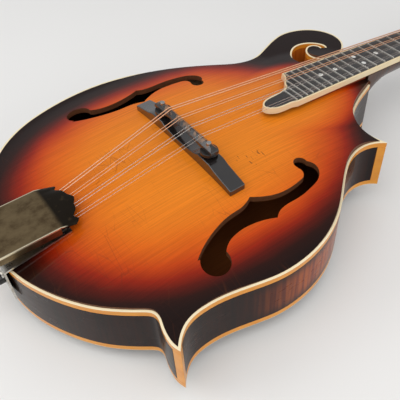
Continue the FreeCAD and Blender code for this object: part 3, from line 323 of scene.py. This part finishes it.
# Rims: thin maple bent round the outline, under nearly black lacquer. A painted glow of light, amber, lies on
# the treble side in the middle of the waist between the two points; the lacquer is amber all along the cleft
# of the scroll.
rim_lacquer = Finish("rim_lacquer", coat_weight=0.2, coat_roughness=0.06, specular_ior_level=0.08)
flame = rim_lacquer.noise((3.2, 3.2, 60), 2.0).between(0.35, 0.65)
point_far, point_near = [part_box("point_caps")[i].x / MM for i in (1, 0)]
glow_middle = point_far * 0.58 + point_near * 0.42
# glow_along, glow_up and treble_side place a painted glow of light on the treble waist
glow_length, glow_height = 78, 20
glow_along = 1 - ((rim_lacquer.x - glow_middle) / glow_length).math("ABSOLUTE").between(0.25, 1.0)
glow_up = 1 - (rim_lacquer.z / glow_height).math("ABSOLUTE").between(0.35, 1.0)
treble_side = 1 - rim_lacquer.y.between(-60, -30)
dark_rim = rim_lacquer.mix(flame * 0.6, (0.009, 0.003, 0.002), (0.026, 0.005, 0.002))
# lit_rim is painted light: a lit copy of the rim colour, mixed over dark_rim by the glow masks
lit_rim = rim_lacquer.mix(flame * 0.8, (0.16, 0.018, 0.002), (0.40, 0.085, 0.006))
rim_lacquer.wear(Base_Color=rim_lacquer.mix(glow_along * glow_up * treble_side, dark_rim, lit_rim),
                 Roughness=rim_lacquer.noise((20, 20, 4), 3.0) * 0.2 + 0.2)
rim_lacquer.bump(rim_lacquer.noise((14, 14, 10), 2.0), 0.06)


def cast(name, node_names, finish, body="body", sharp=35, bevel=0.0, steps=2):
    """Copies nodes of the frame as one merged piece, with its edges rounded by the bevel in millimetres."""
    bm = bmesh.new()
    for node in node_names:
        bm.from_mesh(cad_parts[node].data)
    bmesh.ops.remove_doubles(bm, verts=bm.verts, dist=0.002 * MM)
    bmesh.ops.dissolve_limit(bm, angle_limit=math.radians(0.4), verts=bm.verts, edges=bm.edges)
    made = piece(name, bm, finish, body, sharp)
    if bevel:
        rounding = made.modifiers.new("rounding", "BEVEL")
        rounding.width = bevel * MM
        rounding.segments = steps
        rounding.angle_limit = math.radians(sharp)
        rounding.harden_normals = True
    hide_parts(*node_names)
    return made


rims = cast("bent_rims", ["rim_bass_side", "rim_treble_tail", "rim_treble_waist", "rim_cutaway"], rim_lacquer,
            sharp=40)

# Scroll and neck block: one block of solid maple, carved into the scroll and glued between the rims.
# Inside the cleft the lacquer is clear amber, and elsewhere nearly black.
block_lacquer = Finish("block_lacquer", coat_weight=0.2, coat_roughness=0.06, specular_ior_level=0.08)
cleft_x, cleft_y = 316, 42
cleft_length, cleft_width = 24, 25
cleft_along = ((block_lacquer.x - cleft_x) / cleft_length) ** 2.0
cleft_across = ((block_lacquer.y - cleft_y) / cleft_width) ** 2.0
cleft_reach = 1 - (cleft_along + cleft_across).between(0.7, 1.25)
block_flame = block_lacquer.noise((3, 3, 50), 2.0)
dark_block = block_lacquer.mix(block_flame, (0.016, 0.006, 0.004), (0.030, 0.010, 0.006))
clear_block = block_lacquer.mix(block_flame, (0.42, 0.10, 0.012), (0.62, 0.20, 0.022))
block_lacquer.wear(Base_Color=block_lacquer.mix(cleft_reach, dark_block, clear_block),
                   Roughness=block_flame * 0.15 + 0.22)
cast("neck_block_and_scroll", ["head_block"], block_lacquer, sharp=40)

# Bindings: strips of ivoroid bent round both edges and glued into ledges cut in the plates and rims.
# They are scraped cream on the face and stained amber by the lacquer at the side.
ivoroid = Finish("ivoroid", coat_weight=0.3, coat_roughness=0.08, specular_ior_level=0.3)
layers = ivoroid.noise((30, 30, 0.35), 2.0)
cream = ivoroid.mix(layers, (0.80, 0.66, 0.40), (0.88, 0.77, 0.54))
amber = ivoroid.mix(ivoroid.noise((24, 24, 9), 3.0), (0.62, 0.19, 0.010), (0.86, 0.38, 0.035))
scraped = ivoroid.z.math("ABSOLUTE").between(TOP / MM - 0.75, TOP / MM - 0.25)
ivoroid.wear(Base_Color=ivoroid.mix(scraped, amber, cream), Roughness=layers * 0.15 + 0.28)
cast("top_edge_binding", ["top_binding"], ivoroid, sharp=40, bevel=0.45)
cast("back_edge_binding", ["back_binding"], ivoroid, sharp=40, bevel=0.45)
cast("point_end_caps", ["point_caps"], ivoroid, sharp=40, bevel=0.4)

# Inside of the body: spruce blocks and kerfed linings that join the rims, and two tone bars under the top.
# The wood is bare, and shows a little through the f-holes.
bare_wood = Finish("bare_wood", roughness=0.7)
bare_stops = [(0.3, (0.38, 0.25, 0.13)), (0.7, (0.55, 0.40, 0.24))]
bare_wood.wear(Base_Color=bare_wood.ramp(bare_wood.noise((40, 1.5, 3), 3.0), bare_stops))
cast("inner_blocks", ["point_blocks", "tail_block"], bare_wood)
cast("kerfed_linings", ["linings"], bare_wood)
cast("braces", ["tone_bars"], bare_wood, bevel=1.0)

# Neck: one piece of maple with the head, carved to a D behind the board and swept into the heel.
# The lacquer is nearly black, and a stained riser carries the board over the top.
neck_lacquer = Finish("neck_lacquer", coat_weight=0.4, coat_roughness=0.08, specular_ior_level=0.2)
neck_flame = neck_lacquer.noise((3.5, 60, 60), 2.0).between(0.3, 0.7)
neck_lacquer.wear(Base_Color=neck_lacquer.mix(neck_flame, (0.022, 0.008, 0.005), (0.075, 0.024, 0.010)),
                  Roughness=neck_flame * 0.08 + 0.26)
cast("neck_shaft_and_head", ["neck"], neck_lacquer, sharp=28)
riser_stain = Finish("riser_stain", coat_weight=0.4, coat_roughness=0.08, specular_ior_level=0.2)
riser_grain = riser_stain.noise((30, 2, 1.5), 3.0)
riser_stain.wear(Base_Color=riser_stain.mix(riser_grain, (0.16, 0.022, 0.006), (0.34, 0.055, 0.012)))
cast("board_riser", ["fingerboard_riser"], riser_stain, bevel=0.3)

# Fingerboard: ebony with fine open pores, glued to the neck and the riser.
# Its edge is bound in ivoroid, and the tongue is left without frets.
ebony = Finish("ebony", coat_weight=0.35, coat_roughness=0.12, specular_ior_level=0.3)
pores = ebony.noise((7, 0.35, 0.35), 3.0)
ebony.wear(Base_Color=ebony.mix(pores.between(0.4, 0.7), (0.014, 0.012, 0.012), (0.034, 0.029, 0.027)),
           Roughness=ebony.noise((30, 6, 6), 3.0) * 0.22 + 0.20)
ebony.bump(pores, 0.03)
cast("ebony_board", ["fingerboard"], ebony, bevel=0.2)
board_ivoroid = Finish("board_ivoroid", coat_weight=0.6, coat_roughness=0.12, ior=1.5)
board_layers = board_ivoroid.noise((20, 6, 0.6), 2.0)
board_ivoroid.wear(Base_Color=board_ivoroid.mix(board_layers, (0.74, 0.56, 0.30), (0.86, 0.74, 0.50)))
cast("board_edge_binding", ["fingerboard_binding"], board_ivoroid, bevel=0.25)

# Frets: nickel silver wire hammered into slots across the board.
# Their crowns are rounded and polished by the strings.
nickel_silver = Finish("nickel_silver", metallic=1.0)
fret_tarnish = nickel_silver.noise((2, 6, 2), 2.0)
nickel_silver.wear(Base_Color=nickel_silver.mix(fret_tarnish, (0.52, 0.50, 0.46), (0.72, 0.70, 0.65)),
                   Roughness=nickel_silver.noise((3, 1, 3), 2.0) * 0.25 + 0.18)
cast("fret_wires", ["frets"], nickel_silver, bevel=0.5, steps=3)

# Position marks: discs of mother-of-pearl, let into the board between frets.
# They are glued in and sanded flush.
pearl = Finish("pearl", coat_weight=0.8, coat_roughness=0.08, ior=1.6)
sheen = pearl.noise((1.6, 0.7, 2), 3.0, 0.7)
pearl_stops = [(0.25, (0.42, 0.50, 0.50)), (0.5, (0.80, 0.80, 0.74)), (0.75, (0.72, 0.62, 0.66))]
pearl.wear(Base_Color=pearl.ramp(sheen, pearl_stops),
           Roughness=sheen * 0.2 + 0.15)
cast("pearl_dots", ["position_dots"], pearl)

# Nut and head: a bone nut with a slot for each string, and a black veneer glued to the face of the head.
# A bell-shaped cover is screwed over the end of the steel truss rod and its nut.
bone = Finish("bone", coat_weight=0.2, coat_roughness=0.2)
bone.wear(Base_Color=bone.mix(bone.noise((2, 8, 2), 3.0), (0.66, 0.57, 0.40), (0.82, 0.76, 0.62)),
          Roughness=bone.noise((1, 3, 1)) * 0.2 + 0.3)
cast("bone_nut", ["nut"], bone, bevel=0.3)
black_lacquer = Finish("black_lacquer", coat_weight=0.5, coat_roughness=0.05, specular_ior_level=0.2)
haze = black_lacquer.noise((30, 18, 18), 3.0)
black_lacquer.wear(Base_Color=black_lacquer.mix(haze, (0.008, 0.007, 0.007), (0.020, 0.017, 0.015)),
                   Roughness=haze * 0.2 + 0.2)
cast("head_veneer", ["headstock_veneer"], black_lacquer, bevel=0.25)
cast("rod_cover", ["truss_rod_cover"], black_lacquer, bevel=0.4)
plain_steel = Finish("plain_steel", metallic=1.0)
brushed = plain_steel.noise((1, 12, 1), 3.0)
plain_steel.wear(Base_Color=plain_steel.mix(brushed, (0.34, 0.33, 0.32), (0.52, 0.51, 0.49)),
                 Roughness=brushed * 0.3 + 0.22)
cast("rod", ["truss_rod"], plain_steel)
cast("rod_nut", ["truss_rod_nut"], plain_steel, body="truss_rod_nut", bevel=0.3)

# Machine heads: two nickel-plated plates screwed behind the head, with a worm and a gear for each string.
# Pearloid buttons are pressed on the shafts, and ferrules line the holes in the face.
nickel = Finish("nickel_plate", metallic=1.0)
tarnish = nickel.noise((9, 9, 9), 4.0, 0.65)
nickel.wear(Base_Color=nickel.mix(tarnish.between(0.4, 0.75), (0.62, 0.60, 0.56), (0.40, 0.36, 0.28)),
            Roughness=tarnish * 0.35 + 0.12)
cast("tuner_back_plates", ["tuner_plates"], nickel, bevel=0.2)
cast("post_ferrules", ["tuner_ferrules"], nickel, sharp=40, bevel=0.2)
cast("all_screws", ["screws"], nickel, sharp=40, bevel=0.25)
pearloid = Finish("pearloid", coat_weight=1.0, coat_roughness=0.08, ior=1.5)
swirl = pearloid.cells((4, 4, 4))
button_stops = [(0.1, (0.80, 0.74, 0.60)), (0.5, (0.62, 0.54, 0.40))]
pearloid.wear(Base_Color=pearloid.ramp(swirl + pearloid.noise((2, 2, 2)) * 0.3, button_stops),
              Roughness=swirl * 0.2 + 0.2)
button_length = 14.9 * MM
tuner_count = 8
for number in range(1, tuner_count + 1):
    post_node = "tuner_post_%d" % number
    worm_node = "tuner_worm_%d" % number
    cast("gear_post_%d" % number, [post_node], nickel, body=post_node, sharp=40, bevel=0.12)
    worm = cast("worm_and_button_%d" % number, [worm_node], nickel, body=worm_node, sharp=40,
                bevel=0.15)
    worm_low, worm_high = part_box(worm_node)
    worm.data.materials.append(pearloid.material)
    for face in worm.data.polygons:
        if number <= tuner_count / 2:
            in_button = face.center.y > worm_high.y - button_length
        else:
            in_button = face.center.y < worm_low.y + button_length
        face.material_index = int(in_button)

# Bridge: an ebony base fitted to the arch, with two steel studs and a black thumbwheel on each.
# The saddle rests on the wheels, and its crest is worn brown in patches by the strings.
polished_ebony = Finish("polished_ebony", coat_weight=1.0, coat_roughness=0.04)
smudges = polished_ebony.noise((9, 9, 9), 3.0)
polished_ebony.wear(Base_Color=polished_ebony.mix(smudges, (0.006, 0.005, 0.005), (0.016, 0.013, 0.012)),
                    Roughness=smudges * 0.2 + 0.1)
cast("bridge_foot", ["bridge_base"], polished_ebony, sharp=30, bevel=1.6, steps=4)
worn_ebony = Finish("worn_ebony", coat_weight=0.5, coat_roughness=0.15, ior=1.5)
rubbed = worn_ebony.z.between(bridge_high.z / MM - 3.2, bridge_high.z / MM - 0.4)
patches = worn_ebony.noise((5, 5, 5), 3.0).between(0.46, 0.60)
worn_ebony.wear(Base_Color=worn_ebony.mix(rubbed * patches, (0.018, 0.015, 0.014), (0.20, 0.105, 0.050)),
                Roughness=patches * 0.2 + 0.22)
cast("bridge_crest", ["bridge_saddle"], worn_ebony, body="bridge_saddle", sharp=30, bevel=0.5,
     steps=3)
cast("bridge_studs", ["bridge_posts"], plain_steel, sharp=40, bevel=0.3)
for end in ("bass", "treble"):
    wheel_node = "thumbwheel_" + end
    cast("wheel_" + end, [wheel_node], black_lacquer, body=wheel_node, sharp=40, bevel=0.4)

# Tailpiece: a folded nickel base screwed to the tail, and a stamped cover that slides on over its hooks.
# The cover has worn to a dull olive brown; a painted highlight runs along its folds, and painted shade makes
# the scalloped lip nearly black.
old_plate = Finish("old_plate", metallic=1.0)
stain = old_plate.noise((13, 11, 11), 5.0, 0.65)
rub = old_plate.noise((2.5, 22, 8), 3.0)
cover_low, cover_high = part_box("tailpiece_cover")
tarnish_and_painted_light = old_plate.mix(stain.between(0.35, 0.72), (0.22, 0.16, 0.085), (0.095, 0.062, 0.032))
crease = 39.5
# Painted shade: the lip beyond the crease is darkened nearly to black, a little less in patches
shade_gaps = old_plate.noise((5, 5, 5), 3.0).between(0.55, 0.8)
lip_painted_shade = old_plate.x.between(crease - 1, crease + 3) * (1 - shade_gaps * 0.3)
tarnish_and_painted_light = old_plate.mix(lip_painted_shade, tarnish_and_painted_light, (0.022, 0.017, 0.012))
half_cover = cover_high.y / MM
# Painted highlight: a pale bright line along the top of the side folds
fold_painted_highlight = old_plate.y.math("ABSOLUTE").between(half_cover - 1.1, half_cover - 0.3)
fold_painted_highlight = fold_painted_highlight * old_plate.z.between(cover_high.z / MM - 1.6, cover_high.z / MM - 0.6)
tarnish_and_painted_light = old_plate.mix(fold_painted_highlight, tarnish_and_painted_light, (0.80, 0.72, 0.52))
old_plate.wear(Base_Color=tarnish_and_painted_light, Roughness=stain * 0.30 + rub * 0.12 + 0.18)
old_plate.bump(rub + stain, 0.03)


def lip_end(share):
    """How far the scalloped lip reaches, from one side, -1, to the other, 1."""
    bulge = math.cos(share * math.pi / 2) ** 1.5
    ears = math.exp(-((abs(share) - 0.86) / 0.12) ** 2)
    scallops = 0.7 * math.cos(share * 4 * math.pi)
    return crease + 8.5 + 9.5 * bulge + 4.0 * ears + scallops


lid = bmesh.new()
across_steps, along_steps = 72, 8
lip_fall, corner_fall, skirt_depth, sheet_metal = 0.9, 2.6, 6.0, 0.9
near_edge = 0.1 * MM
bmesh.ops.create_grid(lid, x_segments=along_steps + 1, y_segments=across_steps, size=0.5)
for vert in lid.verts:
    reach = round((vert.co.x + 0.5) * (along_steps + 1) - 1) / along_steps
    share = 2 * vert.co.y
    vert.co.y = share * cover_high.y
    if reach < 0:
        vert.co.x, vert.co.z = cover_low.x, cover_high.z
    else:
        vert.co.x = (crease + reach * (lip_end(share) - crease)) * MM
        vert.co.z = cover_high.z - (lip_fall + corner_fall * abs(share) ** 3) * reach * MM
bmesh.ops.recalc_face_normals(lid, faces=lid.faces)


def folded(edge):
    """Whether the sheet is folded down here: at both sides as far as the crease, and at the tail."""
    side = all(abs(vert.co.y) > cover_high.y - near_edge and vert.co.x < crease * MM + near_edge
               for vert in edge.verts)
    tail = all(vert.co.x < cover_low.x + near_edge for vert in edge.verts)
    return edge.is_boundary and (side or tail)


sides = [edge for edge in lid.edges if folded(edge)]
skirt = bmesh.ops.extrude_edge_only(lid, edges=sides)
fallen = [item for item in skirt["geom"] if isinstance(item, bmesh.types.BMVert)]
bmesh.ops.translate(lid, verts=fallen, vec=(0, 0, -skirt_depth * MM))
bmesh.ops.recalc_face_normals(lid, faces=lid.faces)
tail_cover = piece("tail_cover", lid, old_plate, "tailpiece_cover", sharp=50)
sheet = tail_cover.modifiers.new("sheet", "SOLIDIFY")
sheet.thickness = sheet_metal * MM
sheet.offset = -1
folds = tail_cover.modifiers.new("folds", "BEVEL")
folds.width = 0.6 * MM
folds.segments = 3
folds.angle_limit = math.radians(50)
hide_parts("tailpiece_cover")
cast("tail_base", ["tailpiece_base"], nickel, sharp=40, bevel=0.3)
cast("strap_button", ["end_pin"], black_lacquer, sharp=40, bevel=1.2, steps=4)

# Strings: four courses of two, hooked on the tailpiece and wound round the posts.
# The two low courses are wound with bronze on a steel core, and the two high ones are plain steel.
bronze = Finish("bronze_winding", metallic=1.0, roughness=0.3)
bronze.wear(Base_Color=bronze.mix(bronze.noise((8, 8, 8), 3.0), (0.72, 0.34, 0.18), (0.90, 0.54, 0.34)))
winding_pitch = 0.5
turns = (bronze.x * (2 * math.pi / winding_pitch)).math("SINE")
bronze.bump(turns, 0.04)
for course in ("g", "d"):
    cast("wound_strings_" + course, ["strings_" + course], bronze, sharp=60)
wire_steel = Finish("wire_steel", metallic=1.0, roughness=0.22)
wire_wear = wire_steel.noise((10, 10, 10), 3.0)
wire_steel.wear(Base_Color=wire_steel.mix(wire_wear, (0.46, 0.40, 0.36), (0.66, 0.60, 0.55)))
for course in ("a", "e"):
    cast("plain_strings_" + course, ["strings_" + course], wire_steel, sharp=60)

# Floor: plain and pale. The mandolin lies on the crown of its back and the tip of its head,
# so the floor is tilted to touch both.
floor_finish = Finish("floor", roughness=0.75)
floor_tone = floor_finish.noise((300, 300, 300), 2.0)
floor_finish.wear(Base_Color=floor_finish.mix(floor_tone, (0.78, 0.77, 0.75), (0.82, 0.81, 0.79)))
floor_mesh = bmesh.new()
bmesh.ops.create_grid(floor_mesh, x_segments=2, y_segments=2, size=6)
head_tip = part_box("neck")[0].z
rest_length = 0.5
tilt = math.atan2(back_low.z - head_tip, rest_length)
bmesh.ops.rotate(floor_mesh, verts=floor_mesh.verts, cent=(0, 0, 0), matrix=Matrix.Rotation(tilt, 3, "Y"))
bmesh.ops.translate(floor_mesh, verts=floor_mesh.verts, vec=(bridge_line, 0, back_low.z - 0.4 * MM))
floor_data = bpy.data.meshes.new("floor")
floor_mesh.to_mesh(floor_data)
floor_mesh.free()
floor_data.materials.append(floor_finish.material)
floor = bpy.data.objects.new("floor", floor_data)
bpy.context.scene.collection.objects.link(floor)

# Light: an even pale room, a wide soft lamp high over the treble side of the tail,
# and two small ones, beyond the neck and beyond the tail.
world = bpy.data.worlds.new("room")
bpy.context.scene.world = world
world.use_nodes = True
world.node_tree.nodes["Background"].inputs["Color"].default_value = (0.92, 0.93, 0.95, 1)
world.node_tree.nodes["Background"].inputs["Strength"].default_value = 0.58
body_middle = Vector((0.45 * body_length, 0, TOP))


def lamp(name, place, width, height, watts):
    light = bpy.data.lights.new(name, "AREA")
    light.shape = "RECTANGLE"
    light.size = width
    light.size_y = height
    light.energy = watts
    made = bpy.data.objects.new(name, light)
    made.location = place
    made.rotation_euler = (body_middle - Vector(place)).to_track_quat("-Z", "Y").to_euler()
    bpy.context.scene.collection.objects.link(made)


lamp("overhead", (-0.3, -0.5, 1.5), 2.0, 1.6, 16)
lamp("treble_side", (0.9, -1.3, 0.6), 1.0, 0.7, 4)
lamp("tail_side", (-1.0, 0.6, 0.9), 0.8, 0.8, 5)

# Camera: the place, turn and lens worked out from the frets, the bridge and the outline in the photograph
camera_data = bpy.data.cameras.new("camera")
camera = bpy.data.objects.new("camera", camera_data)
bpy.context.scene.collection.objects.link(camera)
bpy.context.scene.camera = camera
right = Vector((0.80284, -0.59546, -0.02956)).normalized()
down = Vector((-0.43105, -0.54548, -0.71878)).normalized()
forward = right.cross(down).normalized()
turn = Matrix((right, -down, -forward)).transposed()
camera.matrix_world = Matrix.Translation((-0.011773, -0.262659, 0.301443)) @ turn.to_4x4()
frame_pixels = 400
focal_pixels = 557.98
centre_pixels = (214.47, 172.91)
camera_data.sensor_width = 36
camera_data.lens = focal_pixels * camera_data.sensor_width / frame_pixels
camera_data.shift_x = (frame_pixels / 2 - centre_pixels[0]) / frame_pixels
camera_data.shift_y = (centre_pixels[1] - frame_pixels / 2) / frame_pixels
camera_data.clip_start = 0.01
bpy.context.scene.view_settings.view_transform = "Standard"
